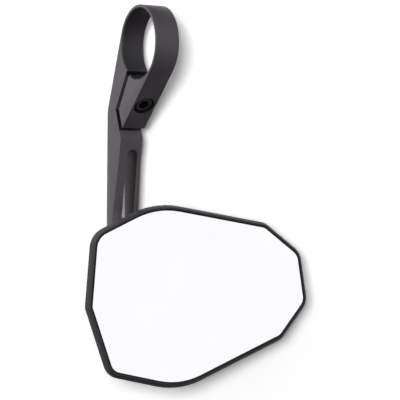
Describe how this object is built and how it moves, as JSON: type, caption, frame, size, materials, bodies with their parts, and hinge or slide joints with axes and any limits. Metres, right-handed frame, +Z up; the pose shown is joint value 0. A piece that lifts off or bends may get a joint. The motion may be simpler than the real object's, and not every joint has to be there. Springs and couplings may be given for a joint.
{
  "type": "motorcycle bar end mirror",
  "caption": "Bar end mirror: a split clamp ring with a slotted arm in one piece, and a flat mirror in an angular housing on a ball joint below it.",
  "frame": {"origin": "centre of the handlebar bore, halfway along the clamp", "axes": "+X along the bore, towards the motorcycle's middle on a left bar end; -Y towards the rider, who sees the glass; +Z up, with the mirror head hanging below the bar"},
  "size_m": [0.1115, 0.0669, 0.1967],
  "materials": {
    "arm_anodised": "satin dark anodised",
    "housing_anodised": "satin dark anodised",
    "black_steel": "black oxide",
    "zinc_steel": "zinc plated",
    "spring_steel": "phosphated",
    "collar_nylon": "matte",
    "liner_acetal": "smooth",
    "cup_nylon": "matte",
    "pad_foam": "matte foam",
    "mirror": "silvered flat glass"
  },
  "bodies": {
    "arm": {"clamp_arm": "arm_anodised", "clamp_screw": "black_steel", "stud_washer": "zinc_steel"},
    "stud": {"ball_stud": "zinc_steel", "cone_washer": "spring_steel", "stud_nut": "zinc_steel", "nut_collar": "collar_nylon"},
    "liner": {"ball_liner": "liner_acetal"},
    "head": {"housing": "housing_anodised", "pressure_cup": "cup_nylon", "disc_spring": "spring_steel", "retainer_plate": "zinc_steel", "retainer_screws": "black_steel", "glass_pad": "pad_foam", "mirror_glass": "mirror"}
  },
  "joints": [
    {"name": "head_spin", "type": "hinge", "parent": "arm", "child": "stud", "pos_m": [-0.0034, 0.01634, -0.1225], "axis": [-0.309, -0.9511, 0], "range_deg": [-170, 15]},
    {"name": "head_pan", "type": "hinge", "parent": "stud", "child": "liner", "pos_m": [-0.0034, 0.01634, -0.1225], "axis": [0, 0, 1], "range_deg": [-12, 12]},
    {"name": "head_tilt", "type": "hinge", "parent": "liner", "child": "head", "pos_m": [-0.0034, 0.01634, -0.1225], "axis": [0.9511, -0.309, 0], "range_deg": [-10, 14]}
  ]
}
